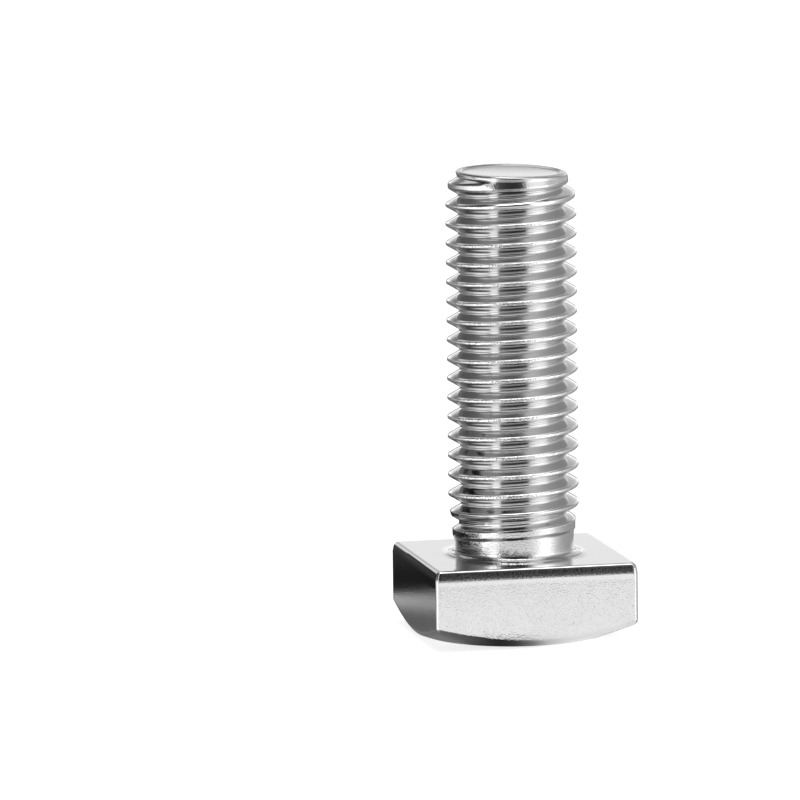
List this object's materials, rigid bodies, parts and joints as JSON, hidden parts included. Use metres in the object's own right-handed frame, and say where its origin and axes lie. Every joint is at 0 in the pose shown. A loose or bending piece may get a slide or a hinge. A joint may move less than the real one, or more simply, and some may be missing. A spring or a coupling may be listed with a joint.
{
  "type": "square head bolt",
  "caption": "Square head bolt with a domed, chamfered head and a coarse metric thread up to a short plain neck, polished stainless steel.",
  "frame": {"origin": "centre of the bearing face under the head, where the shank leaves it", "axes": "+Z along the shank towards the threaded end, +X and +Y square to two sides of the head"},
  "size_m": [0.0186, 0.0186, 0.0422],
  "materials": {
    "stainless_steel": "polished, satin on the sides of the head, fine-grained on its outer face"
  },
  "bodies": {
    "root": {"square_head_bolt": "stainless_steel"}
  },
  "joints": []
}
